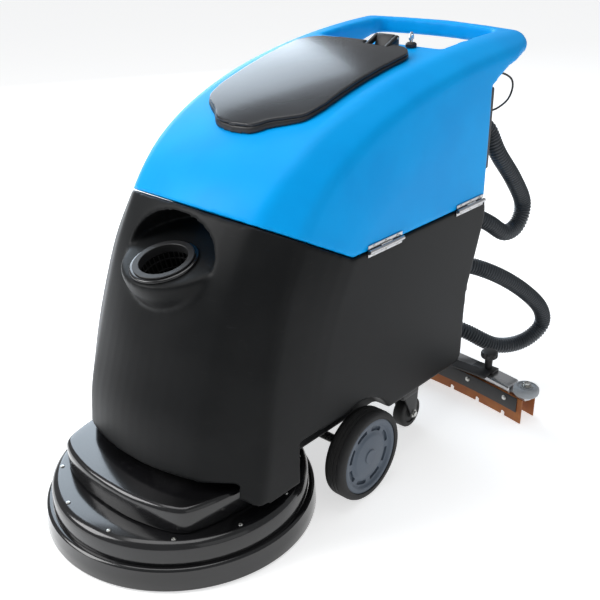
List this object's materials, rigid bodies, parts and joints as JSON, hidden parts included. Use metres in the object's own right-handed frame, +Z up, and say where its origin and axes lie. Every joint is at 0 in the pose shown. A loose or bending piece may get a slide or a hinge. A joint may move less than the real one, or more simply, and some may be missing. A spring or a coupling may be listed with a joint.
{
  "type": "walk-behind floor scrubber",
  "caption": "Walk-behind battery floor scrubber with a round brush deck, tipping recovery tank with a lid and moulded handle, drive wheels, castors and a curved squeegee.",
  "frame": {"origin": "floor level, below the middle of the machine without its free hoses", "axes": "+Z up, -Y towards the front (the brush deck), +X towards the operator's left"},
  "size_m": [0.834, 1.3133, 0.8986],
  "materials": {
    "blue_shell": "rotomoulded bright blue, satin sheen",
    "body_shell": "rotomoulded dark grey-black, fine matte grain",
    "deck_gloss": "glossy black",
    "lid_shell": "glossy dark grey",
    "black_trim": "moulded black",
    "hose": "corrugated dark grey hose",
    "rubber": "matte black rubber",
    "tyre": "solid black tyre",
    "wheel_grey": "blue-grey moulded rim",
    "bumper_grey": "grey soft plastic",
    "blade_rubber": "red-orange blade rubber",
    "bristles": "dark nylon bristles",
    "steel": "brushed stainless steel",
    "painted_steel": "black painted steel",
    "battery_case": "moulded grey case",
    "motor_grey": "grey painted housing",
    "switch_red": "red rocker",
    "gauge": "dark gauge window"
  },
  "bodies": {
    "chassis": {"lower_body": "body_shell", "filler_ring": "deck_gloss", "chassis_frame": "painted_steel", "wheel_axle_left": "steel", "wheel_axle_right": "steel", "battery_left": "battery_case", "battery_right": "battery_case", "vacuum_motor": "motor_grey", "hose_coupler": "black_trim", "lever_bracket": "painted_steel", "hinge_front_body": "steel", "hinge_rear_body": "steel"},
    "tank": {"recovery_tank": "blue_shell", "control_panel": "black_trim", "battery_gauge": "gauge", "tank_outlet": "black_trim", "vacuum_hose": "hose", "panel_cable": "hose", "hinge_front_tank": "steel", "hinge_rear_tank": "steel", "float_cage": "black_trim", "lid_hinge_block": "black_trim", "key_lock": "black_trim"},
    "tank_lid": {"lid": "lid_shell"},
    "strainer": {"filler_strainer": "black_trim"},
    "deck": {"deck_housing": "deck_gloss", "deck_skirt": "deck_gloss", "brush_motor": "motor_grey"},
    "brush": {"brush_hub": "motor_grey", "brush_block": "battery_case", "brush_bristles": "bristles"},
    "pedal": {"lift_pedal": "rubber"},
    "wheel_left": {"tyre_left": "tyre", "rim_left": "wheel_grey"},
    "wheel_right": {"tyre_right": "tyre", "rim_right": "wheel_grey"},
    "castor_left": {"castor_fork_left": "painted_steel"},
    "castor_right": {"castor_fork_right": "painted_steel"},
    "castor_roll_left": {"castor_wheel_left": "rubber"},
    "castor_roll_right": {"castor_wheel_right": "rubber"},
    "squeegee": {"squeegee_arm": "painted_steel", "squeegee_body": "steel", "front_blade": "blade_rubber", "rear_blade": "blade_rubber", "front_strap": "painted_steel", "rear_strap": "painted_steel", "suction_nozzle": "black_trim", "roller_bolt_left": "steel", "roller_bolt_right": "steel", "squeegee_hose": "hose"},
    "clamp_left": {"clamp_knob_left": "black_trim"},
    "clamp_right": {"clamp_knob_right": "black_trim"},
    "bumper_left": {"bumper_roller_left": "bumper_grey"},
    "bumper_right": {"bumper_roller_right": "bumper_grey"},
    "lever": {"squeegee_lever": "black_trim"},
    "key": {"ignition_key": "steel"},
    "brush_rocker": {"brush_switch": "switch_red"},
    "vacuum_rocker": {"vacuum_switch": "black_trim"},
    "water_valve": {"water_knob": "black_trim"}
  },
  "joints": [
    {"name": "tank_tip", "type": "hinge", "parent": "chassis", "child": "tank", "pos_m": [0.2655, 0.1525, 0.5465], "axis": [0, 1, 0], "range_deg": [0, 75], "deforming": ["vacuum_hose"]},
    {"name": "lid_hinge", "type": "hinge", "parent": "tank", "child": "tank_lid", "pos_m": [0.055, 0.2715, 0.886], "axis": [-1, 0, 0], "range_deg": [0, 78]},
    {"name": "strainer_lift", "type": "slide", "parent": "chassis", "child": "strainer", "axis": [0, -0.2756, 0.9613], "range_m": [0, 0.14]},
    {"name": "deck_lift", "type": "slide", "parent": "chassis", "child": "deck", "axis": [0, 0, 1], "range_m": [0, 0.018]},
    {"name": "brush_spin", "type": "hinge", "parent": "deck", "child": "brush", "pos_m": [0, -0.3225, 0.06], "axis": [0, 0, 1], "continuous": true},
    {"name": "pedal_press", "type": "hinge", "parent": "chassis", "child": "pedal", "pos_m": [-0.235, 0.2875, 0.128], "axis": [-1, 0, 0], "range_deg": [0, 20.5]},
    {"name": "squeegee_lift", "type": "hinge", "parent": "chassis", "child": "squeegee", "pos_m": [0, 0.3175, 0.14], "axis": [1, 0, 0], "range_deg": [0, 16], "deforming": ["squeegee_hose"]},
    {"name": "lever_turn", "type": "hinge", "parent": "chassis", "child": "lever", "pos_m": [-0.15, 0.3875, 0.42], "axis": [-1, 0, 0], "range_deg": [0, 48.5]},
    {"name": "wheel_left_spin", "type": "hinge", "parent": "chassis", "child": "wheel_left", "pos_m": [0.268, -0.0565, 0.0994], "axis": [1, 0, 0], "continuous": true},
    {"name": "castor_left_swivel", "type": "hinge", "parent": "chassis", "child": "castor_left", "pos_m": [0.186, 0.1955, 0.1], "axis": [0, 0, 1], "continuous": true},
    {"name": "castor_left_roll", "type": "hinge", "parent": "castor_left", "child": "castor_roll_left", "pos_m": [0.186, 0.2235, 0.0385], "axis": [1, 0, 0], "continuous": true},
    {"name": "clamp_left_turn", "type": "hinge", "parent": "squeegee", "child": "clamp_left", "pos_m": [0.268, 0.45595, 0.1], "axis": [0, 0, 1], "continuous": true},
    {"name": "bumper_left_roll", "type": "hinge", "parent": "squeegee", "child": "bumper_left", "pos_m": [0.386, 0.4328, 0.078], "axis": [0, 0, 1], "continuous": true},
    {"name": "wheel_right_spin", "type": "hinge", "parent": "chassis", "child": "wheel_right", "pos_m": [-0.268, -0.0565, 0.0994], "axis": [1, 0, 0], "continuous": true},
    {"name": "castor_right_swivel", "type": "hinge", "parent": "chassis", "child": "castor_right", "pos_m": [-0.186, 0.1955, 0.1], "axis": [0, 0, 1], "continuous": true},
    {"name": "castor_right_roll", "type": "hinge", "parent": "castor_right", "child": "castor_roll_right", "pos_m": [-0.186, 0.2235, 0.0385], "axis": [1, 0, 0], "continuous": true},
    {"name": "clamp_right_turn", "type": "hinge", "parent": "squeegee", "child": "clamp_right", "pos_m": [-0.268, 0.45595, 0.1], "axis": [0, 0, 1], "continuous": true},
    {"name": "bumper_right_roll", "type": "hinge", "parent": "squeegee", "child": "bumper_right", "pos_m": [-0.386, 0.4328, 0.078], "axis": [0, 0, 1], "continuous": true},
    {"name": "key_turn", "type": "hinge", "parent": "tank", "child": "key", "pos_m": [0.1, 0.2985, 0.88], "axis": [0, 0, 1], "range_deg": [0, 90]},
    {"name": "brush_rocker_tilt", "type": "hinge", "parent": "tank", "child": "brush_rocker", "pos_m": [-0.155, 0.4105, 0.71], "axis": [1, 0, 0], "range_deg": [-8, 8]},
    {"name": "vacuum_rocker_tilt", "type": "hinge", "parent": "tank", "child": "vacuum_rocker", "pos_m": [-0.105, 0.4105, 0.71], "axis": [1, 0, 0], "range_deg": [-8, 8]},
    {"name": "water_valve_turn", "type": "hinge", "parent": "tank", "child": "water_valve", "pos_m": [0.055, 0.4215, 0.7], "axis": [0, 1, 0], "range_deg": [0, 90]}
  ],
  "couplings": [
    {"joint": "pedal_press", "follows": "deck_lift", "rad_per_m": 19.4},
    {"joint": "lever_turn", "follows": "squeegee_lift", "ratio": 3}
  ]
}
